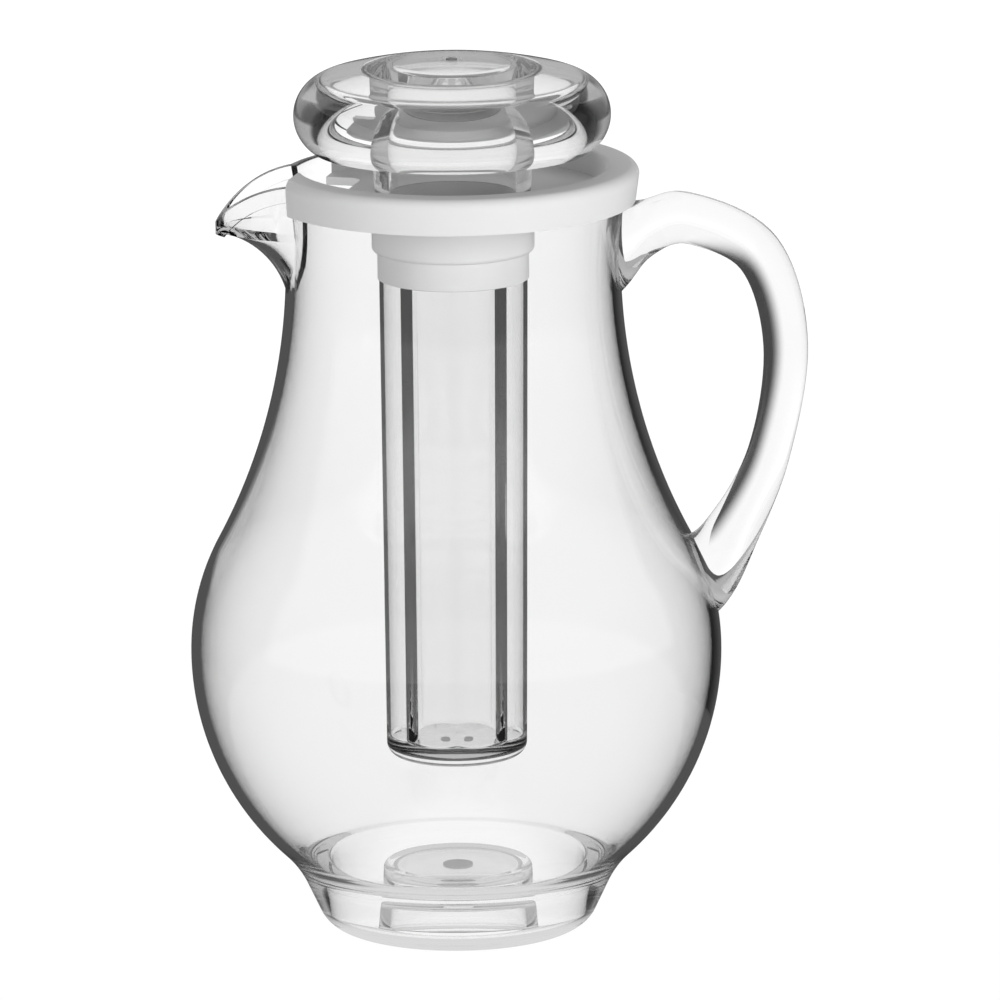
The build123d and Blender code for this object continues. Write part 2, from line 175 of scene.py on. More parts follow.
floor_material, tree, table_top = new_material("pale_table")
table_top.inputs["Base Color"].default_value = FLOOR_COLOUR
table_top.inputs["Roughness"].default_value = FLOOR_ROUGHNESS
# The floor's glow in gloss is painted reflection: pale near the jug, dark round it, grey further off.
from_jug = floor_distance(tree, (0, 0, 0), PAINTED_REFLECTION_NARROWING)
painted_near_reflection = graded(tree, from_jug, (PAINTED_REFLECTION_PALE, PAINTED_REFLECTION_DARK), PAINTED_REFLECTION_PALE_REACH, "SMOOTHSTEP")
beyond = graded(tree, from_jug, (0, ROOM_IN_GLOSS), PAINTED_REFLECTION_FADE_REACH, "SMOOTHSTEP")
floor_gloss = tree.nodes.new("ShaderNodeEmission")
tree.links.new(number_from(tree, "MAXIMUM", painted_near_reflection, beyond), floor_gloss.inputs["Strength"])
shadow_layer = tree.nodes.new("ShaderNodeBsdfDiffuse")
shadow_layer.inputs["Color"].default_value = FLOOR_SHADOW
glow = tree.nodes.new("ShaderNodeEmission")
glow_strength = graded(tree, from_jug, (FLOOR_GLOW, FLOOR_GLOW_FAR), FLOOR_GLOW_REACH)
tree.links.new(glow_strength, glow.inputs["Strength"])
seen_floor = tree.nodes.new("ShaderNodeAddShader")
tree.links.new(shadow_layer.outputs[0], seen_floor.inputs[0])
tree.links.new(glow.outputs[0], seen_floor.inputs[1])
floor_shown = by_sight(tree, table_top.outputs[0], floor_gloss.outputs[0], seen_floor.outputs[0])
tree.links.new(floor_shown, tree.nodes["Material Output"].inputs["Surface"])
table = bmesh.new()
bmesh.ops.create_grid(table, x_segments=1, y_segments=1, size=FLOOR_WIDTH / 2)
floor = new_piece("floor", table)
floor.data.materials.append(floor_material)

# Dark flags: black cloth panels behind the jug on both sides, each with a feathered near edge. They draw the
# soft dark sides into thick clear pieces, such as the handle's inner bend. They cast no shadow, and past the
# jug's two thin walls the pale room shows in their place.
FLAGS = (
    ("dark_flag_right", Vector((0.105, 0.22, 0)), Vector((0.36, 0.06, 0))),
    ("dark_flag_left", Vector((-0.30, 0.36, 0)), Vector((-0.48, -0.05, 0))),
)
FLAG_HEIGHT = 0.4
FLAG_BLACK = (0.01, 0.01, 0.01, 1)
FLAG_FEATHER = 0.09
FLAG_STRENGTH = 0.95
FLAG_WALLS = 3.5
FLAT = (1, 1, 0)


def points_of(made):
    """The points among all that an operator made."""
    return [item for item in made if isinstance(item, bmesh.types.BMVert)]


for flag_name, near, far in FLAGS:
    panel = bmesh.new()
    bottom = panel.edges.new((panel.verts.new(near), panel.verts.new(far)))
    top = bmesh.ops.extrude_edge_only(panel, edges=[bottom])["geom"]
    bmesh.ops.translate(panel, vec=(0, 0, FLAG_HEIGHT), verts=points_of(top))
    flag = new_piece(flag_name, panel)
    cloth, tree, black = new_material(flag_name)
    black.inputs["Base Color"].default_value = FLAG_BLACK
    black.inputs["Roughness"].default_value = 1
    from_near = floor_distance(tree, near, FLAT)
    feather = graded(tree, from_near, (0, FLAG_STRENGTH), (0, FLAG_FEATHER), "SMOOTHSTEP")
    path = tree.nodes.new("ShaderNodeLightPath")
    few_walls = number_from(tree, "LESS_THAN", path.outputs["Transmission Depth"], FLAG_WALLS)
    shown = number_from(tree, "MULTIPLY", feather, few_walls)
    gap = tree.nodes.new("ShaderNodeBsdfTransparent")
    weave = mixed(tree, shown, gap.outputs[0], black.outputs[0])
    tree.links.new(weave, tree.nodes["Material Output"].inputs["Surface"])
    flag.data.materials.append(cloth)
    flag.visible_camera = False
    flag.visible_diffuse = False
    flag.visible_shadow = False

# Lamps: a broad soft box on the handle side and a weaker one on the spout side, both low and in front of the
# jug, and one behind it. Their light may pass many walls, because the clear pieces stand one inside another.
LAMPS = (
    ("soft_box_right", Vector((1.4, -1.6, 0.55)), 1.0, 28),
    ("soft_box_left", Vector((-1.6, -1.4, 0.5)), 0.9, 11),
    ("soft_box_back", Vector((-0.6, 1.8, 0.9)), 0.9, 14),
)
LAMP_AIM = Vector((0, 0, 0.2))
CLEAR_BOUNCES = 32
GLOSS_BOUNCES = 16
for lamp_name, stand, size, power in LAMPS:
    lamp_data = bpy.data.lights.new(lamp_name, "AREA")
    lamp_data.shape = "SQUARE"
    lamp_data.size = size
    lamp_data.energy = power
    lamp = bpy.data.objects.new(lamp_name, lamp_data)
    lamp.location = stand
    lamp.rotation_euler = (LAMP_AIM - stand).to_track_quat("-Z", "Y").to_euler()
    lamp.visible_glossy = False
    lamp.visible_transmission = False
    scene.collection.objects.link(lamp)
scene.cycles.max_bounces = CLEAR_BOUNCES
scene.cycles.transmission_bounces = CLEAR_BOUNCES
scene.cycles.transparent_max_bounces = CLEAR_BOUNCES
scene.cycles.glossy_bounces = GLOSS_BOUNCES

# Jug: a clear pear of polished plastic with an even wall, moulded in one with its beak spout. In its tapered
# foot a flat ledge runs round a well. From the well's floor rises a pedestal, which is hollow from below and
# has the mould's gate mark under its roof.
RIM_HEIGHT = 0.236
RIM_EDGE = 0.0009
NECK_RADIUS = 0.0513
NECK_HEIGHT = 0.2085
BELLY_RADIUS = 0.0816
BELLY_HEIGHT = 0.0873
BELLY_ARC = 0.0725
WALL = 0.0029
FOOT_RADIUS = 0.040
FOOT_HEIGHT = 0.021
FOOT_TAPER = radians(25)
FOOT_EDGE = 0.010
FOOT_BLEND = 0.035
FOOT_WALL = 0.0045
LEDGE_HEIGHT = 0.0215
LEDGE_CORNER = 0.005
WELL_FLOOR = 0.0045
WELL_DRAFT = 0.0019
WELL_EDGE = 0.0015
WELL_CORNER = 0.004
PEDESTAL_HEIGHT = 0.0193
PEDESTAL_RADIUS = 0.024
PEDESTAL_DRAFT = 0.001
PEDESTAL_EDGE = 0.002
PEDESTAL_FILLET = 0.003
PEDESTAL_WALL = 0.003
PEDESTAL_ROOF = 0.0033
GATE_RADIUS = 0.0046
GATE_HEIGHT = 0.0006
SPOUT_REACH = 0.0718
SPOUT_BITE = 0.001
SPOUT_ROOT = 0.044
SPOUT_HALF_WIDTH = 0.0188
SPOUT_ROOT_HALF_WIDTH = 0.0165
SPOUT_FULLNESS = 0.55
SPOUT_NOSE = 0.25
SPOUT_WALL = 0.0024
KEEL_SWEEP = radians(80)
TIP_BOTTOM = 0.2188
TIP_HEIGHT = 0.004
DROOP_ARC = 0.033
LIP_HEIGHT = 0.0044
LIP_PROUD = 0.0008
LIP_WIDTH = 0.1
TURN_STEPS = 192
EDGE_STEPS = 8
FOOT_STEPS = 12
LOWER_STEPS = 40
UPPER_STEPS = 24
NECK_STEPS = 56
RIM_STEPS = 5
KEEL_STEPS = 20
SIDE_STEPS = 24
DROOP_STEPS = 256
MERGE_DISTANCE = 1e-6
CLEAR_TINT = (0.99, 0.99, 0.99, 1)
CLEAR_BEND = 1.5
HAZE_ROUGHNESS = (0, 0.03)
HAZE_SCALE = 60
HAZE_DETAIL = 4
WAVE_DETAIL = 1
GATE_GREY = (0.2, 0.45)
GATE_SCALE = 1500
GATE_DETAIL = 2
GATE_ROUGHNESS = 0.5
GATE_CLEARNESS = 0.8
JUG_WAVES = (0.05, 0.00002)
JUG_SHADE = 0.985
JUG_CREASE = radians(28)


def cut(piece, tool, operation):
    """Joins, cuts or trims a piece with a tool solid, which is used up."""
    modifier = piece.modifiers.new(operation, "BOOLEAN")
    modifier.operation = operation
    modifier.solver = "EXACT"
    modifier.object = tool
    bpy.context.view_layer.update()
    shaped = bpy.data.meshes.new_from_object(piece.evaluated_get(bpy.context.evaluated_depsgraph_get()))
    piece.modifiers.clear()
    shaped.name = piece.name
    piece.data = shaped
    bpy.data.objects.remove(tool)


def line_to(mesh, point, radius, height):
    """Draws a half-section on from its last point in a straight line."""
    grown = bmesh.ops.extrude_vert_indiv(mesh, verts=[point])["verts"][0]
    grown.co = (radius, 0, height)
    return grown


def arc_about(mesh, point, radius, height, turn, steps):
    """Draws a half-section on from its last point in an arc about a centre."""
    swept = bmesh.ops.spin(mesh, geom=[point], cent=(radius, 0, height), axis=(0, -1, 0), angle=turn,
                           steps=steps)
    return points_of(swept["geom_last"])[0]


def turn_on_axis(mesh):
    """Turns a half-section about the upright axis into a closed skin with its faces outwards."""
    bmesh.ops.spin(mesh, geom=mesh.verts[:] + mesh.edges[:], axis=(0, 0, 1), angle=tau, steps=TURN_STEPS,
                   use_merge=True)
    bmesh.ops.remove_doubles(mesh, verts=mesh.verts, dist=MERGE_DISTANCE)
    bmesh.ops.recalc_face_normals(mesh, faces=mesh.faces)


def upright_arc(rise, run):
    """Radius of the arc that leaves upright and gains a run over a rise."""
    return (rise ** 2 + run ** 2) / (2 * run)


def along_curve(part, start, first, second, end):
    """A value a part of the way along a curve that two pulls bend between its start and end."""
    rest = 1 - part
    return rest ** 3 * start + 3 * rest ** 2 * part * first + 3 * rest * part ** 2 * second + part ** 3 * end


def specks(tree, scale, detail):
    """Random specks that keep their place on a piece."""
    place = tree.nodes.new("ShaderNodeTexCoord")
    noise = tree.nodes.new("ShaderNodeTexNoise")
    noise.inputs["Scale"].default_value = scale
    noise.inputs["Detail"].default_value = detail
    tree.links.new(place.outputs["Object"], noise.inputs["Vector"])
    return noise.outputs["Fac"]


def emboss(tree, shader, pattern, strength, depth):
    """Gives a surface the slight ups and downs of a pattern."""
    bump = tree.nodes.new("ShaderNodeBump")
    bump.inputs["Strength"].default_value = strength
    bump.inputs["Distance"].default_value = depth
    tree.links.new(pattern, bump.inputs["Height"])
    tree.links.new(bump.outputs["Normal"], shader.inputs["Normal"])


def clear_plastic(name, waves, shade):
    """Polished clear plastic with a breath of haze, and with flow waves of a size and depth from the mould.

    Light on its way to matt pieces passes straight through, dimmed to a shade.
    """
    material, tree, shader = new_material(name)
    shader.inputs["Base Color"].default_value = CLEAR_TINT
    shader.inputs["Transmission Weight"].default_value = 1
    shader.inputs["IOR"].default_value = CLEAR_BEND
    haze = graded(tree, specks(tree, HAZE_SCALE, HAZE_DETAIL), HAZE_ROUGHNESS)
    tree.links.new(haze, shader.inputs["Roughness"])
    wave_size, wave_depth = waves
    emboss(tree, shader, specks(tree, 1 / wave_size, WAVE_DETAIL), 1, wave_depth)
    path = tree.nodes.new("ShaderNodeLightPath")
    lights = number_from(tree, "MAXIMUM", path.outputs["Is Shadow Ray"], path.outputs["Is Diffuse Ray"])
    passed = tree.nodes.new("ShaderNodeBsdfTransparent")
    passed.inputs["Color"].default_value = (shade, shade, shade, 1)
    shown = mixed(tree, lights, shader.outputs[0], passed.outputs[0])
    tree.links.new(shown, tree.nodes["Material Output"].inputs["Surface"])
    return material


def finish_faces(piece, material, crease):
    """Gives a piece its material and smooth faces, with a crease where they meet at more than an angle."""
    piece.data.shade_smooth()
    piece.data.set_sharp_from_angle(angle=crease)
    piece.data.materials.clear()
    piece.data.materials.append(material)


gate_plastic, tree, shader = new_material("broken_gate")
shader.inputs["Transmission Weight"].default_value = GATE_CLEARNESS
shader.inputs["Roughness"].default_value = GATE_ROUGHNESS
torn_grey = graded(tree, specks(tree, GATE_SCALE, GATE_DETAIL), GATE_GREY)
tree.links.new(torn_grey, shader.inputs["Base Color"])


def break_gate(piece, radius, level, height):
    """Turns the face of a gate mark, at a level, to torn and frosted plastic."""
    piece.data.materials.append(gate_plastic)
    for face in piece.data.polygons:
        if abs(face.center.z - level) < height / 2 and face.center.xy.length < radius:
            face.material_index = 1


foot_top = FOOT_RADIUS + FOOT_HEIGHT * tan(FOOT_TAPER)
lower_arc = upright_arc(BELLY_HEIGHT - FOOT_HEIGHT, BELLY_RADIUS - foot_top)
lower_centre = Vector((BELLY_RADIUS - lower_arc, BELLY_HEIGHT))
neck_arc = upright_arc(NECK_HEIGHT - BELLY_HEIGHT, BELLY_RADIUS - NECK_RADIUS) - BELLY_ARC
neck_centre = NECK_RADIUS + neck_arc
turn_angle = asin((NECK_HEIGHT - BELLY_HEIGHT) / (neck_arc + BELLY_ARC))
rim_angle = asin((RIM_HEIGHT - RIM_EDGE - NECK_HEIGHT) / neck_arc)
recess_radius = PEDESTAL_RADIUS - PEDESTAL_WALL
recess_depth = PEDESTAL_HEIGHT - PEDESTAL_ROOF
recess_draft = atan(PEDESTAL_DRAFT / recess_depth)
recess_edge = recess_depth - PEDESTAL_EDGE
recess_corner = recess_radius - recess_edge * tan(recess_draft) - PEDESTAL_EDGE / cos(recess_draft)
gate_level = recess_depth - GATE_HEIGHT


def jug_outside():
    """The jug's outside as a full solid, with the recess under its pedestal."""
    mesh = bmesh.new()
    point = mesh.verts.new((0, 0, gate_level))
    point = line_to(mesh, point, GATE_RADIUS, gate_level)
    point = line_to(mesh, point, GATE_RADIUS, recess_depth)
    point = line_to(mesh, point, recess_corner, recess_depth)
    point = arc_about(mesh, point, recess_corner, recess_edge, recess_draft - pi / 2, EDGE_STEPS)
    point = line_to(mesh, point, recess_radius, 0)
    edge_centre = FOOT_RADIUS - FOOT_EDGE * tan((pi / 2 - FOOT_TAPER) / 2)
    point = line_to(mesh, point, edge_centre, 0)
    point = arc_about(mesh, point, edge_centre, FOOT_EDGE, pi / 2 - FOOT_TAPER, FOOT_STEPS)
    upwards = Vector((sin(FOOT_TAPER), cos(FOOT_TAPER)))
    outwards = Vector((cos(FOOT_TAPER), -sin(FOOT_TAPER)))
    away = Vector((FOOT_RADIUS, 0)) + FOOT_BLEND * outwards - lower_centre
    along = away.dot(upwards)
    rise = -along - sqrt(along ** 2 - away.length_squared + (lower_arc + FOOT_BLEND) ** 2)
    blend_start = Vector((FOOT_RADIUS, 0)) + rise * upwards
    blend_centre = blend_start + FOOT_BLEND * outwards
    facing = atan2(lower_centre.y - blend_centre.y, lower_centre.x - blend_centre.x)
    point = line_to(mesh, point, blend_start.x, blend_start.y)
    point = arc_about(mesh, point, blend_centre.x, blend_centre.y, facing - pi + FOOT_TAPER, FOOT_STEPS)
    point = arc_about(mesh, point, lower_centre.x, lower_centre.y, pi - facing, LOWER_STEPS)
    point = arc_about(mesh, point, BELLY_RADIUS - BELLY_ARC, BELLY_HEIGHT, turn_angle, UPPER_STEPS)
    point = arc_about(mesh, point, neck_centre, NECK_HEIGHT, -turn_angle - rim_angle, NECK_STEPS)
    point = arc_about(mesh, point, point.co.x - RIM_EDGE, point.co.z, pi / 2, RIM_STEPS)
    line_to(mesh, point, 0, RIM_HEIGHT)
    turn_on_axis(mesh)
    return mesh


def spout_form(inset):
    """The beak up to the rim's height, with its sides, nose and keel drawn in by an inset."""
    mesh = bmesh.new()
    keel_arc = (SPOUT_REACH - NECK_RADIUS + SPOUT_BITE) / (1 - cos(KEEL_SWEEP))
    keel_rise = keel_arc * sin(KEEL_SWEEP)
    loops = []
    for station in range(KEEL_STEPS + 2):
        angle = KEEL_SWEEP * min(station, KEEL_STEPS) / KEEL_STEPS
        along = sin(angle) / sin(KEEL_SWEEP)
        nose = NECK_RADIUS - SPOUT_BITE + keel_arc * (1 - cos(angle)) - inset
        half = SPOUT_ROOT_HALF_WIDTH + (SPOUT_HALF_WIDTH - SPOUT_ROOT_HALF_WIDTH) * along - inset
        height = TIP_BOTTOM - keel_rise + (keel_rise + inset) * along
        shoulder = SPOUT_ROOT + SPOUT_FULLNESS * (nose - SPOUT_ROOT)
        if station > KEEL_STEPS:
            height = RIM_HEIGHT + WALL
        ring = []
        for step in range(-SIDE_STEPS, SIDE_STEPS + 1):
            part = 1 - abs(step) / SIDE_STEPS
            out = along_curve(part, SPOUT_ROOT, shoulder, nose, nose)
            side = along_curve(part, half, half, SPOUT_NOSE * half, 0)
            ring.append(mesh.verts.new((-out, side if step >= 0 else -side, height)))
        loops.append([mesh.edges.new((ring[n - 1], ring[n])) for n in range(len(ring))])
    for lower, upper in zip(loops, loops[1:]):
        bmesh.ops.bridge_loops(mesh, edges=lower + upper)
    bmesh.ops.edgeloop_fill(mesh, edges=loops[0])
    bmesh.ops.edgeloop_fill(mesh, edges=loops[-1])
    bmesh.ops.recalc_face_normals(mesh, faces=mesh.faces)
    return mesh


tip_drop = RIM_HEIGHT - TIP_BOTTOM - TIP_HEIGHT
droop_start = SPOUT_REACH - sqrt(2 * DROOP_ARC * tip_drop - tip_drop ** 2)


def droop_disc(radius, width):
    """A solid disc across the spout, about the centre of the drooping line of the spout's rim."""
    mesh = bmesh.new()
    across = Matrix.Translation((-droop_start, 0, RIM_HEIGHT - DROOP_ARC)) @ Matrix.Rotation(pi / 2, 4, "X")
    bmesh.ops.create_cone(mesh, cap_ends=True, segments=DROOP_STEPS, radius1=radius, radius2=radius,
                          depth=width, matrix=across)
    return mesh


jug = new_piece("jug", jug_outside())
cut(jug, new_piece("beak", spout_form(0)), "UNION")
lip = new_piece("lip", spout_form(-LIP_PROUD))
cut(lip, new_piece("lip_outside", droop_disc(DROOP_ARC + LIP_HEIGHT, LIP_WIDTH)), "INTERSECT")
cut(lip, new_piece("lip_inside", droop_disc(DROOP_ARC - LIP_HEIGHT, LIP_WIDTH)), "DIFFERENCE")
cut(jug, lip, "UNION")

inside = bmesh.new()
side_draft = atan(PEDESTAL_DRAFT / (PEDESTAL_HEIGHT - WELL_FLOOR))
top_level = PEDESTAL_HEIGHT - PEDESTAL_EDGE
top_edge = PEDESTAL_RADIUS - (top_level - WELL_FLOOR) * tan(side_draft) - PEDESTAL_EDGE / cos(side_draft)
fillet_level = WELL_FLOOR + PEDESTAL_FILLET
fillet_centre = PEDESTAL_RADIUS - PEDESTAL_FILLET * tan(side_draft) + PEDESTAL_FILLET / cos(side_draft)
well_foot = FOOT_RADIUS + WELL_FLOOR * tan(FOOT_TAPER) - FOOT_WALL
well_lean = atan(WELL_DRAFT / (FOOT_HEIGHT - WELL_FLOOR))
well_corner = well_foot - WELL_CORNER * tan((pi / 2 - well_lean) / 2)
ridge_level = LEDGE_HEIGHT - WELL_EDGE
ridge_centre = well_foot + (ridge_level - WELL_FLOOR) * tan(well_lean) + WELL_EDGE / cos(well_lean)
corner_level = LEDGE_HEIGHT + LEDGE_CORNER
corner_reach = (lower_arc - WALL - LEDGE_CORNER) ** 2 - (BELLY_HEIGHT - corner_level) ** 2
ledge_end = lower_centre.x + sqrt(corner_reach)
ledge_angle = atan2(BELLY_HEIGHT - corner_level, ledge_end - lower_centre.x)
inner_rim_angle = asin((RIM_HEIGHT - RIM_EDGE - NECK_HEIGHT) / (neck_arc + WALL))
point = inside.verts.new((0, 0, PEDESTAL_HEIGHT))
point = line_to(inside, point, top_edge, PEDESTAL_HEIGHT)
point = arc_about(inside, point, top_edge, top_level, side_draft - pi / 2, EDGE_STEPS)
point = line_to(inside, point, fillet_centre - PEDESTAL_FILLET * cos(side_draft),
                fillet_level - PEDESTAL_FILLET * sin(side_draft))
point = arc_about(inside, point, fillet_centre, fillet_level, pi / 2 - side_draft, EDGE_STEPS)
point = line_to(inside, point, well_corner, WELL_FLOOR)
point = arc_about(inside, point, well_corner, WELL_FLOOR + WELL_CORNER, pi / 2 - well_lean, EDGE_STEPS)
point = line_to(inside, point, ridge_centre - WELL_EDGE * cos(well_lean),
                ridge_level + WELL_EDGE * sin(well_lean))
point = arc_about(inside, point, ridge_centre, ridge_level, well_lean - pi / 2, EDGE_STEPS)
point = line_to(inside, point, ledge_end, LEDGE_HEIGHT)
point = arc_about(inside, point, ledge_end, corner_level, pi / 2 - ledge_angle, EDGE_STEPS)
point = arc_about(inside, point, lower_centre.x, lower_centre.y, ledge_angle, LOWER_STEPS)
point = arc_about(inside, point, BELLY_RADIUS - BELLY_ARC, BELLY_HEIGHT, turn_angle, UPPER_STEPS)
point = arc_about(inside, point, neck_centre, NECK_HEIGHT, -turn_angle - inner_rim_angle, NECK_STEPS)
point = arc_about(inside, point, point.co.x + RIM_EDGE, point.co.z, -pi / 2, RIM_STEPS)
point = line_to(inside, point, point.co.x, RIM_HEIGHT + WALL)
line_to(inside, point, 0, RIM_HEIGHT + WALL)
turn_on_axis(inside)
cut(jug, new_piece("hollow", inside), "DIFFERENCE")
cut(jug, new_piece("channel", spout_form(SPOUT_WALL)), "DIFFERENCE")

trim = bmesh.new()
trim_size = 2 * SPOUT_REACH
trim_place = (-droop_start - SPOUT_REACH, 0, RIM_HEIGHT - DROOP_ARC + SPOUT_REACH)
bmesh.ops.create_cube(trim, size=trim_size)
bmesh.ops.translate(trim, vec=trim_place, verts=trim.verts)
trim_block = new_piece("trim", trim)
cut(trim_block, new_piece("droop", droop_disc(DROOP_ARC, 2 * trim_size)), "DIFFERENCE")
cut(jug, trim_block, "DIFFERENCE")
finish_faces(jug, clear_plastic("clear_jug", JUG_WAVES, JUG_SHADE), JUG_CREASE)
break_gate(jug, GATE_RADIUS, gate_level, GATE_HEIGHT)
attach(jug, "jug")
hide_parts("jug_body")

# Handle: a solid loop of the same clear plastic, oval in section, with flared roots bonded to the neck and
# belly. Each station has its place out and up, its heading in degrees, its thickness and its width.
HANDLE_STATIONS = (
    (0.0460, 0.2105, 0, 0.0330, 0.0210),
    (0.0520, 0.2139, 3, 0.0270, 0.0195),
    (0.0590, 0.2186, 9, 0.0178, 0.0175),
    (0.0720, 0.2217, -2, 0.0159, 0.0170),
    (0.0935, 0.2105, -50, 0.0148, 0.0170),
    (0.1016, 0.1820, -88, 0.0137, 0.0170),
    (0.0962, 0.1475, -108, 0.0131, 0.0170),
    (0.0840, 0.1217, -122, 0.0175, 0.0175),
    (0.0760, 0.1113, -145, 0.0250, 0.0200),
    (0.0690, 0.1070, -150, 0.0280, 0.0210),
)
HANDLE_STEPS = 10
HANDLE_SIDES = 48
BOND_GAP = 1.0005
HANDLE_WAVES = (0.03, 0.00002)
HANDLE_SHADE = 0.85
HANDLE_CREASE = radians(40)


def between(values, step):
    """A smooth value a part of the way between the middle two of four stations."""
    before, first, last, after = values
    bend = (2 * before - 5 * first + 4 * last - after) * step ** 2
    twist = (3 * first - before - 3 * last + after) * step ** 3
    return (2 * first + (last - before) * step + bend + twist) / 2


grip = bmesh.new()
rings = []
for number in range(len(HANDLE_STATIONS) - 1):
    around = [HANDLE_STATIONS[min(max(number + n, 0), len(HANDLE_STATIONS) - 1)] for n in (-1, 0, 1, 2)]
    for step in range(HANDLE_STEPS + (number == len(HANDLE_STATIONS) - 2)):
        out, up, heading, thickness, width = [between(values, step / HANDLE_STEPS) for values in zip(*around)]
        across = (Matrix.Translation((out, 0, up)) @ Matrix.Rotation(pi / 2 - radians(heading), 4, "Y")
                  @ Matrix.Diagonal((thickness / 2, width / 2, 1, 1)))
        ring = bmesh.ops.create_circle(grip, segments=HANDLE_SIDES, radius=1, matrix=across)["verts"]
        rings.append(list({edge for vert in ring for edge in vert.link_edges}))
for lower, upper in zip(rings, rings[1:]):
    bmesh.ops.bridge_loops(grip, edges=lower + upper)
bmesh.ops.edgeloop_fill(grip, edges=rings[0])
bmesh.ops.edgeloop_fill(grip, edges=rings[-1])
bmesh.ops.recalc_face_normals(grip, faces=grip.faces)
handle = new_piece("handle", grip)
bond = jug_outside()
bmesh.ops.scale(bond, vec=(BOND_GAP, BOND_GAP, 1), verts=bond.verts)
cut(handle, new_piece("bond", bond), "DIFFERENCE")
finish_faces(handle, clear_plastic("clear_handle", HANDLE_WAVES, HANDLE_SHADE), HANDLE_CREASE)
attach(handle, "jug")
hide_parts("jug_handle")

# Lid: a white moulding with a satin skin. Its ring caps the jug's rim with a skirt outside and a plug inside.
# Its dished floor carries a stepped socket, and one side is cut away for the spout, turned a little from it.
LID_TURN = radians(-14)
SKIRT_INSIDE = 0.05384
SKIRT_WALL = 0.0021
COLLAR_TAPER = 0.0011
COLLAR_CROWN = 0.003
COLLAR_TOP = 0.239
COLLAR_BOTTOM = 0.228
PLUG_RADIUS = 0.04885
PLUG_WALL = 0.002
PLUG_EDGE = 0.0018
LID_FLOOR_TOP = 0.231
LID_FLOOR_BOTTOM = 0.2285
SOCKET_RADIUS = 0.0249
SOCKET_STEP_RADIUS = 0.0232
SOCKET_STEP = 0.2127
SOCKET_BOTTOM = 0.2043
SOCKET_CORNER = 0.0015
SOCKET_LEDGE_RADIUS = 0.0186
SOCKET_LEDGE_TOP = 0.2155
SOCKET_LEDGE_BOTTOM = 0.2135
STOPPER_BORE = 0.0224
TUBE_BORE = 0.0212
SPOUT_CHORD = 0.0430
NOTCH_END = 0.0315
NOTCH_HALF_WIDTH = 0.012
NOTCH_CORNER = 0.004
MOULD_EDGE = 0.0005
MOULD_EDGE_ANGLE = radians(50)
MOULD_EDGE_STEPS = 2
CROWN_STEPS = 10
SOCKET_STEPS = 6
LID_WHITE = (0.86, 0.86, 0.86, 1)
LID_SATIN = (0.36, 0.5)
LID_GRAIN_SCALE = 2500
LID_GRAIN_DETAIL = 3
LID_PORE_STRENGTH = 0.15
LID_PORE_DEPTH = 0.00003
LID_CREASE = radians(30)
collar_radius = SKIRT_INSIDE + SKIRT_WALL + COLLAR_TAPER
plug_inside = PLUG_RADIUS - PLUG_WALL


def round_edges(mesh, edges, radius, steps):
    """Rounds the edges of a tool solid."""
    bmesh.ops.bevel(mesh, geom=edges, offset=radius, affect="EDGES", segments=steps, profile=0.5, material=-1)


section = bmesh.new()
first = section.verts.new((SKIRT_INSIDE + SKIRT_WALL, 0, COLLAR_BOTTOM))
point = line_to(section, first, collar_radius, COLLAR_TOP - COLLAR_CROWN)
point = arc_about(section, point, collar_radius - COLLAR_CROWN, COLLAR_TOP - COLLAR_CROWN, pi / 2,
                  CROWN_STEPS)
point = line_to(section, point, plug_inside + PLUG_EDGE, COLLAR_TOP)
point = arc_about(section, point, plug_inside + PLUG_EDGE, COLLAR_TOP - PLUG_EDGE, pi / 2, EDGE_STEPS)
for radius, height in ((plug_inside, LID_FLOOR_TOP),
                       (STOPPER_BORE, LID_FLOOR_TOP),
                       (STOPPER_BORE, SOCKET_LEDGE_TOP),
                       (SOCKET_LEDGE_RADIUS, SOCKET_LEDGE_TOP),
                       (SOCKET_LEDGE_RADIUS, SOCKET_LEDGE_BOTTOM),
                       (TUBE_BORE, SOCKET_LEDGE_BOTTOM),
                       (TUBE_BORE, SOCKET_BOTTOM),
                       (SOCKET_STEP_RADIUS, SOCKET_BOTTOM),
                       (SOCKET_STEP_RADIUS, SOCKET_STEP),
                       (SOCKET_RADIUS - SOCKET_CORNER, SOCKET_STEP)):
    point = line_to(section, point, radius, height)
point = arc_about(section, point, SOCKET_RADIUS - SOCKET_CORNER, SOCKET_STEP + SOCKET_CORNER, pi / 2,
                  SOCKET_STEPS)
for radius, height in ((SOCKET_RADIUS, LID_FLOOR_BOTTOM),
                       (PLUG_RADIUS, LID_FLOOR_BOTTOM),
                       (PLUG_RADIUS, RIM_HEIGHT),
                       (SKIRT_INSIDE, RIM_HEIGHT),
                       (SKIRT_INSIDE, COLLAR_BOTTOM)):
    point = line_to(section, point, radius, height)
section.edges.new((point, first))
turn_on_axis(section)
lid = new_piece("lid", section)

notch = bmesh.new()
notch_size = (SPOUT_CHORD - NOTCH_END + collar_radius, 2 * NOTCH_HALF_WIDTH, 2 * RIM_HEIGHT)
notch_place = (-(NOTCH_END + SPOUT_CHORD + collar_radius) / 2, 0, RIM_HEIGHT)
bmesh.ops.create_cube(notch, size=1)
bmesh.ops.scale(notch, vec=notch_size, verts=notch.verts)
bmesh.ops.translate(notch, vec=notch_place, verts=notch.verts)
corners = [edge for edge in notch.edges if abs(edge.verts[0].co.z - edge.verts[1].co.z) > RIM_HEIGHT
           and edge.verts[0].co.x > -SPOUT_CHORD]
round_edges(notch, corners, NOTCH_CORNER, EDGE_STEPS)
chord = bmesh.new()
bmesh.ops.create_cube(chord, size=2 * collar_radius)
bmesh.ops.translate(chord, vec=(-SPOUT_CHORD - collar_radius, 0, RIM_HEIGHT), verts=chord.verts)
for tool_name, tool in (("notch", notch), ("chord", chord)):
    bmesh.ops.rotate(tool, cent=(0, 0, 0), matrix=Matrix.Rotation(LID_TURN, 3, "Z"), verts=tool.verts)
    cut(lid, new_piece(tool_name, tool), "DIFFERENCE")
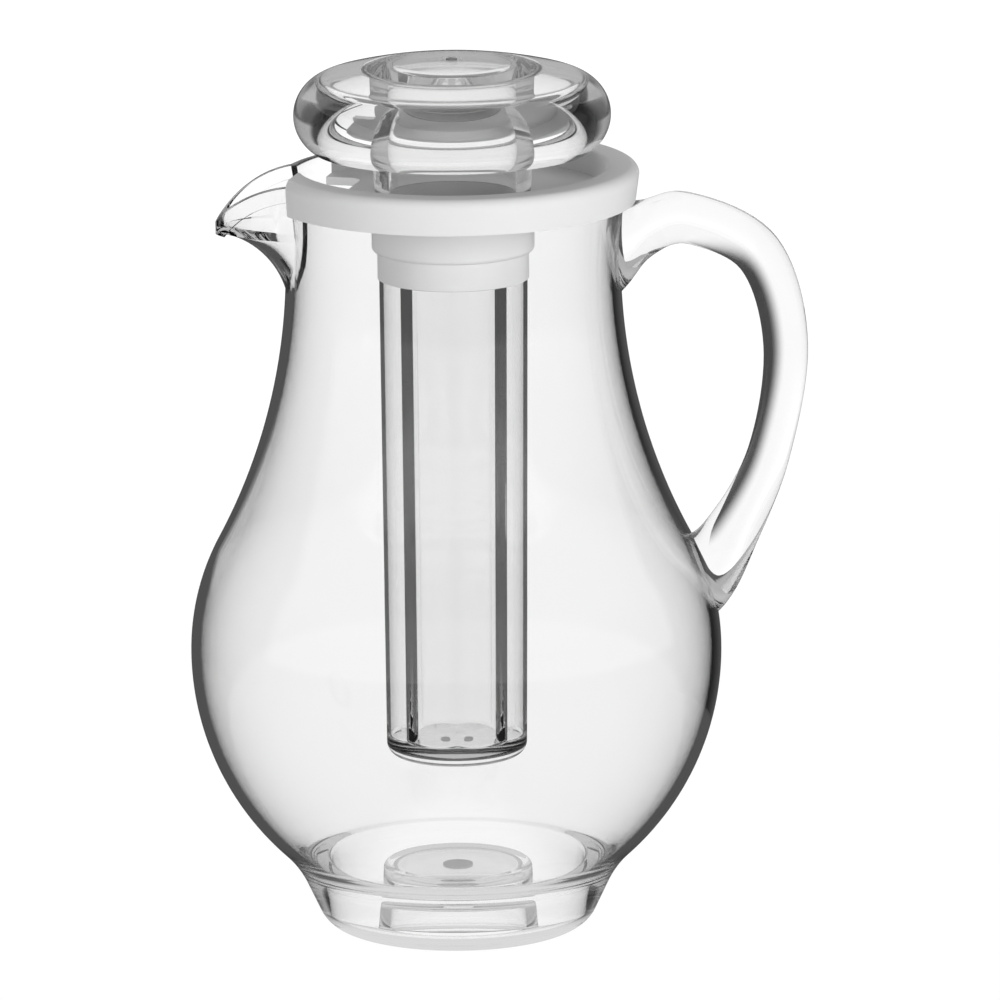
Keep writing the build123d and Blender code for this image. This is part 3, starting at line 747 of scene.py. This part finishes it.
soft_edges = lid.modifiers.new("soft_edges", "BEVEL")
soft_edges.width = MOULD_EDGE
soft_edges.segments = MOULD_EDGE_STEPS
soft_edges.limit_method = "ANGLE"
soft_edges.angle_limit = MOULD_EDGE_ANGLE
soft_edges.harden_normals = False

white, tree, shader = new_material("white_plastic")
shader.inputs["Base Color"].default_value = LID_WHITE
grain = specks(tree, LID_GRAIN_SCALE, LID_GRAIN_DETAIL)
tree.links.new(graded(tree, grain, LID_SATIN), shader.inputs["Roughness"])
emboss(tree, shader, grain, LID_PORE_STRENGTH, LID_PORE_DEPTH)
finish_faces(lid, white, LID_CREASE)
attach(lid, "lid")
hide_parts("lid_collar")

# Ice tube: thick clear plastic, smooth outside with a slight taper, six rounded flutes inside that open
# upwards, and a closed end with a round edge and a gate mark. Its neck goes up into the lid's socket.
LOBES = 6
LOBE_REACH = 0.0186
LOBE_ARC = 0.0083
LOBE_DRAFT = 0.0008
LOBE_STEPS = 14
TUBE_NECK = 0.0209
TUBE_TOP_RADIUS = 0.0227
TUBE_FOOT_RADIUS = 0.0216
TUBE_TOP = 0.2041
TUBE_BOTTOM = 0.0541
TUBE_MOUTH = 0.21245
TUBE_EDGE = 0.004
TUBE_EDGE_STEPS = 12
TUBE_FLOOR = 0.0053
TUBE_FLOOR_ROUND = 0.0015
TUBE_FLOOR_STEPS = 4
TUBE_GATE_RADIUS = 0.0024
TUBE_GATE_HEIGHT = 0.0004
TUBE_WAVES = (0.02, 0.00001)
TUBE_SHADE = 0.9
TUBE_CREASE = radians(35)
tube_gate_level = TUBE_BOTTOM - TUBE_GATE_HEIGHT

tube_wall = bmesh.new()
point = tube_wall.verts.new((0, 0, tube_gate_level))
point = line_to(tube_wall, point, TUBE_GATE_RADIUS, tube_gate_level)
point = line_to(tube_wall, point, TUBE_GATE_RADIUS, TUBE_BOTTOM)
point = line_to(tube_wall, point, TUBE_FOOT_RADIUS - TUBE_EDGE, TUBE_BOTTOM)
point = arc_about(tube_wall, point, TUBE_FOOT_RADIUS - TUBE_EDGE, TUBE_BOTTOM + TUBE_EDGE, pi / 2,
                  TUBE_EDGE_STEPS)
for radius, height in ((TUBE_TOP_RADIUS, TUBE_TOP),
                       (TUBE_NECK, TUBE_TOP),
                       (TUBE_NECK, TUBE_MOUTH),
                       (0, TUBE_MOUTH)):
    point = line_to(tube_wall, point, radius, height)
turn_on_axis(tube_wall)
tube = new_piece("ice_tube", tube_wall)

flutes = bmesh.new()
lobe_centre = LOBE_REACH - LOBE_DRAFT - LOBE_ARC
lobe_turn = pi / LOBES + asin(lobe_centre * sin(pi / LOBES) / LOBE_ARC)
floor_height = TUBE_BOTTOM + TUBE_FLOOR
for lobe in range(LOBES):
    facing = tau * lobe / LOBES
    centre = Vector((lobe_centre * cos(facing), lobe_centre * sin(facing), floor_height))
    cusp = centre + Vector((LOBE_ARC * cos(facing - lobe_turn), LOBE_ARC * sin(facing - lobe_turn), 0))
    bmesh.ops.spin(flutes, geom=[flutes.verts.new(cusp)], cent=centre, axis=(0, 0, 1), angle=2 * lobe_turn,
                   steps=LOBE_STEPS)
bmesh.ops.remove_doubles(flutes, verts=flutes.verts, dist=MERGE_DISTANCE)
bmesh.ops.edgeloop_fill(flutes, edges=flutes.edges[:])
raised = points_of(bmesh.ops.extrude_face_region(flutes, geom=flutes.faces[:])["geom"])
opened = LOBE_REACH / (LOBE_REACH - LOBE_DRAFT)
bmesh.ops.scale(flutes, vec=(opened, opened, 1), verts=raised)
bmesh.ops.translate(flutes, vec=(0, 0, TUBE_MOUTH + TUBE_FLOOR_ROUND - floor_height), verts=raised)
bmesh.ops.recalc_face_normals(flutes, faces=flutes.faces)
floor_edges = [edge for edge in flutes.edges
               if max(vert.co.z for vert in edge.verts) < floor_height + TUBE_FLOOR_ROUND]
round_edges(flutes, floor_edges, TUBE_FLOOR_ROUND, TUBE_FLOOR_STEPS)
cut(tube, new_piece("flutes", flutes), "DIFFERENCE")
finish_faces(tube, clear_plastic("clear_tube", TUBE_WAVES, TUBE_SHADE), TUBE_CREASE)
break_gate(tube, TUBE_GATE_RADIUS, tube_gate_level, TUBE_GATE_HEIGHT)
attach(tube, "core")
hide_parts("ice_tube")

# Stopper knob: one clear moulding. A low dome with a round rim is hollow from below round a stem, whose
# shoulder rests on the lid's floor and whose plug fills the socket. A gate mark with a small nub is on top.
KNOB_RADIUS = 0.0485
KNOB_BOTTOM = 0.2444
KNOB_RIM_ARC = 0.0125
KNOB_RIM_HEIGHT = 0.0102
KNOB_DOME_RISE = 0.0048
KNOB_FOOT_WIDTH = 0.0027
KNOB_ROOF = 0.0022
KNOB_CORNER = 0.002
KNOB_GATE_RADIUS = 0.0034
KNOB_GATE_NUB = 0.0017
KNOB_GATE_DEPTH = 0.0006
STEM_FOOT_RADIUS = 0.024
STEM_TOP_RADIUS = 0.025
STEM_BORE = 0.0194
STEM_EDGE = 0.0008
STOPPER_PLUG = 0.0222
PLUG_BOTTOM = 0.216
SEAL_CENTRE = 0.02145
SEAL_HEIGHT = 0.223
SEAL_GROOVE = 0.00095
DOME_STEPS = 24
KNOB_RIM_STEPS = 40
ROOF_STEPS = 12
GROOVE_STEPS = 16
STEM_EDGE_STEPS = 4
KNOB_WAVES = (0.03, 0.00001)
KNOB_SHADE = 0.82
KNOB_CREASE = radians(30)
rim_centre = KNOB_RADIUS - KNOB_RIM_ARC
rim_level = KNOB_BOTTOM + KNOB_RIM_HEIGHT
rim_rise = KNOB_RIM_ARC + KNOB_DOME_RISE
knob_top = rim_level + rim_rise
dome_arc = (rim_centre ** 2 + rim_rise ** 2 - KNOB_RIM_ARC ** 2) / (2 * KNOB_DOME_RISE)
dome_level = knob_top - dome_arc
dome_angle = asin(rim_centre / (dome_arc - KNOB_RIM_ARC))
corner_arc = dome_arc - KNOB_ROOF - KNOB_CORNER
gate_angle = asin(KNOB_GATE_RADIUS / dome_arc)
under_angle = asin(KNOB_RIM_HEIGHT / KNOB_RIM_ARC)
groove_angle = atan2(sqrt(SEAL_GROOVE ** 2 - (STOPPER_PLUG - SEAL_CENTRE) ** 2), STOPPER_PLUG - SEAL_CENTRE)

dome = bmesh.new()
point = dome.verts.new((0, 0, knob_top))
point = line_to(dome, point, KNOB_GATE_NUB, knob_top)
point = line_to(dome, point, KNOB_GATE_NUB, knob_top - KNOB_GATE_DEPTH)
point = line_to(dome, point, KNOB_GATE_RADIUS, knob_top - KNOB_GATE_DEPTH)
point = line_to(dome, point, KNOB_GATE_RADIUS, knob_top - dome_arc * (1 - cos(gate_angle)))
point = arc_about(dome, point, 0, dome_level, gate_angle - dome_angle, DOME_STEPS)
point = arc_about(dome, point, rim_centre, rim_level, dome_angle - pi / 2 - under_angle, KNOB_RIM_STEPS)
hollow_radius = point.co.x - KNOB_FOOT_WIDTH
point = line_to(dome, point, hollow_radius, KNOB_BOTTOM)
outer_lean = asin((hollow_radius - KNOB_CORNER) / corner_arc)
outer_corner = dome_level + corner_arc * cos(outer_lean)
point = line_to(dome, point, hollow_radius, outer_corner)
point = arc_about(dome, point, hollow_radius - KNOB_CORNER, outer_corner, pi / 2 - outer_lean, EDGE_STEPS)
stem_lean = asin((STEM_TOP_RADIUS + KNOB_CORNER) / corner_arc)
stem_corner = dome_level + corner_arc * cos(stem_lean)
point = arc_about(dome, point, 0, dome_level, outer_lean - stem_lean, ROOF_STEPS)
point = arc_about(dome, point, STEM_TOP_RADIUS + KNOB_CORNER, stem_corner, pi / 2 + stem_lean, EDGE_STEPS)
point = line_to(dome, point, STEM_FOOT_RADIUS, LID_FLOOR_TOP)
point = line_to(dome, point, STOPPER_PLUG, LID_FLOOR_TOP)
point = line_to(dome, point, STOPPER_PLUG, SEAL_HEIGHT + SEAL_GROOVE * sin(groove_angle))
point = arc_about(dome, point, SEAL_CENTRE, SEAL_HEIGHT, tau - 2 * groove_angle, GROOVE_STEPS)
point = line_to(dome, point, STOPPER_PLUG, PLUG_BOTTOM + STEM_EDGE)
point = arc_about(dome, point, STOPPER_PLUG - STEM_EDGE, PLUG_BOTTOM + STEM_EDGE, -pi / 2, STEM_EDGE_STEPS)
point = line_to(dome, point, STEM_BORE, PLUG_BOTTOM)
bore_lean = asin((STEM_BORE - KNOB_CORNER) / corner_arc)
bore_corner = dome_level + corner_arc * cos(bore_lean)
point = line_to(dome, point, STEM_BORE, bore_corner)
point = arc_about(dome, point, STEM_BORE - KNOB_CORNER, bore_corner, pi / 2 - bore_lean, EDGE_STEPS)
arc_about(dome, point, 0, dome_level, bore_lean, ROOF_STEPS)
turn_on_axis(dome)
knob = new_piece("knob", dome)
finish_faces(knob, clear_plastic("clear_knob", KNOB_WAVES, KNOB_SHADE), KNOB_CREASE)
break_gate(knob, KNOB_GATE_NUB, knob_top, KNOB_GATE_DEPTH)
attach(knob, "stopper")
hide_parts("stopper_knob")

# Seals: a flat ring between the tube's mouth and the ledge in the socket, and a round ring in the groove of
# the stem's plug. Both are moulded of pale soft rubber.
SEAL_COLOUR = (0.8, 0.8, 0.78, 1)
SEAL_ROUGHNESS = (0.6, 0.8)
SEAL_BLOOM_SCALE = 900
SEAL_BLOOM_DETAIL = 2
rubber, tree, shader = new_material("seal_rubber")
shader.inputs["Base Color"].default_value = SEAL_COLOUR
bloom = specks(tree, SEAL_BLOOM_SCALE, SEAL_BLOOM_DETAIL)
tree.links.new(graded(tree, bloom, SEAL_ROUGHNESS), shader.inputs["Roughness"])
for node in ("tube_seal", "stopper_seal"):
    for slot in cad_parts[node].material_slots:
        slot.material = rubber
